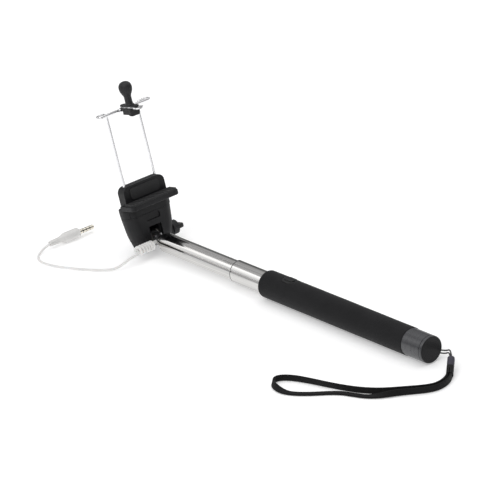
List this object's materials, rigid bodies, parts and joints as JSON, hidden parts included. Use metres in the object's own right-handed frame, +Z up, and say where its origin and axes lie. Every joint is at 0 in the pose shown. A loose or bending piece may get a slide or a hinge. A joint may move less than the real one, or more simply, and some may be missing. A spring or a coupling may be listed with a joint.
{
  "type": "selfie stick",
  "caption": "Telescopic hand-held phone holder: foam grip with shutter button, nested chrome tubes, tilting spring clamp, signal lead with jack plug and wrist strap.",
  "frame": {"origin": "middle of the footprint of the rigid stick, on the surface that its grip lies on", "axes": "+X along the stick from the clamp head to the wrist strap; +Y along the tilt axle to the thumb screw; +Z up, on the shutter button's side"},
  "size_m": [0.4026, 0.1207, 0.1289],
  "materials": {
    "foam": "fine-grained black foam, dull",
    "tube_chrome": "bright chrome with fine drawn lines along the tube",
    "cap_plastic": "satin dark grey moulding",
    "shell_plastic": "black moulding, fine spark texture",
    "knob_plastic": "black moulding with diamond grip",
    "button_plastic": "semi-gloss black",
    "pad_rubber": "matt black rubber",
    "wire_chrome": "bright chrome wire",
    "plate_chrome": "bright pressed plate",
    "fixing_steel": "zinc plated",
    "spring_steel": "bright spring wire",
    "washer_nylon": "natural nylon",
    "plug_inner": "grey moulding",
    "coil_black": "coiled insulated lead",
    "switch_board": "green board with a steel dome",
    "tongue_metal": "satin cast fitting",
    "lead_white": "soft white lead",
    "plug_white": "soft-gloss white moulding",
    "pin_metal": "bright plated pin",
    "strap_black": "flat woven black webbing",
    "sleeve_grey": "dark moulded sleeve",
    "loop_black": "thin braided cord"
  },
  "bodies": {
    "handle": {"foam_grip": "foam", "outer_tube": "tube_chrome", "end_cap": "cap_plastic", "rear_plug": "plug_inner", "signal_coil": "coil_black", "button_frame": "button_plastic", "button_switch": "switch_board", "button_wire": "coil_black", "strap_loop": "loop_black", "strap_sleeve": "sleeve_grey", "strap_webbing": "strap_black"},
    "shutter_button": {"shutter_button": "button_plastic"},
    "section_2": {"tube_2": "tube_chrome", "slip_2": "washer_nylon"},
    "section_3": {"tube_3": "tube_chrome", "slip_3": "washer_nylon"},
    "section_4": {"tube_4": "tube_chrome", "slip_4": "washer_nylon"},
    "section_5": {"tube_5": "tube_chrome", "slip_5": "washer_nylon"},
    "section_6": {"tube_6": "tube_chrome", "slip_6": "washer_nylon", "tongue": "tongue_metal", "lead_grommet": "plug_white", "lead_start": "lead_white", "lead_curl": "lead_white", "lead_run": "lead_white", "plug_body": "plug_white", "jack_pin": "pin_metal"},
    "head": {"front_shell": "shell_plastic", "rear_shell": "shell_plastic", "jaw_pad": "pad_rubber", "back_pad": "pad_rubber", "friction_washers": "washer_nylon", "hinge_nut": "fixing_steel", "shell_screws": "fixing_steel", "spring_left": "spring_steel", "spring_right": "spring_steel"},
    "thumb_screw": {"thumb_knob": "knob_plastic", "hinge_bolt": "fixing_steel"},
    "clamp_bail": {"wire_bail": "wire_chrome", "rod_feet": "washer_nylon", "top_plate": "plate_chrome", "hook_pad": "pad_rubber", "knob_flange": "knob_plastic", "pull_knob": "knob_plastic", "knob_stud": "fixing_steel"}
  },
  "joints": [
    {"name": "shutter_press", "type": "slide", "parent": "handle", "child": "shutter_button", "axis": [0, 0, -1], "range_m": [0, 0.0004], "stiffness_N_per_m": 20, "springref_m": -0.002},
    {"name": "section_2_slide", "type": "slide", "parent": "handle", "child": "section_2", "axis": [-1, 0, 0], "range_m": [-0.0795, 0.089], "deforming": ["signal_coil"]},
    {"name": "section_3_slide", "type": "slide", "parent": "section_2", "child": "section_3", "axis": [-1, 0, 0], "range_m": [0, 0.168]},
    {"name": "section_4_slide", "type": "slide", "parent": "section_3", "child": "section_4", "axis": [-1, 0, 0], "range_m": [0, 0.168]},
    {"name": "section_5_slide", "type": "slide", "parent": "section_4", "child": "section_5", "axis": [-1, 0, 0], "range_m": [0, 0.168]},
    {"name": "section_6_slide", "type": "slide", "parent": "section_5", "child": "section_6", "axis": [-1, 0, 0], "range_m": [0, 0.168]},
    {"name": "head_tilt", "type": "hinge", "parent": "section_6", "child": "head", "pos_m": [-0.14201, -0.00168, 0.01], "axis": [0, 1, 0], "range_deg": [-78, 30]},
    {"name": "thumb_screw_turn", "type": "hinge", "parent": "head", "child": "thumb_screw", "pos_m": [-0.14201, 0.01733, 0.01], "axis": [0, 1, 0], "range_deg": [0, 270]},
    {"name": "clamp_slide", "type": "slide", "parent": "head", "child": "clamp_bail", "axis": [-0.2062, 0, 0.9785], "range_m": [0, 0.022], "stiffness_N_per_m": 220, "springref_m": -0.014, "deforming": ["spring_left", "spring_right"]}
  ]
}
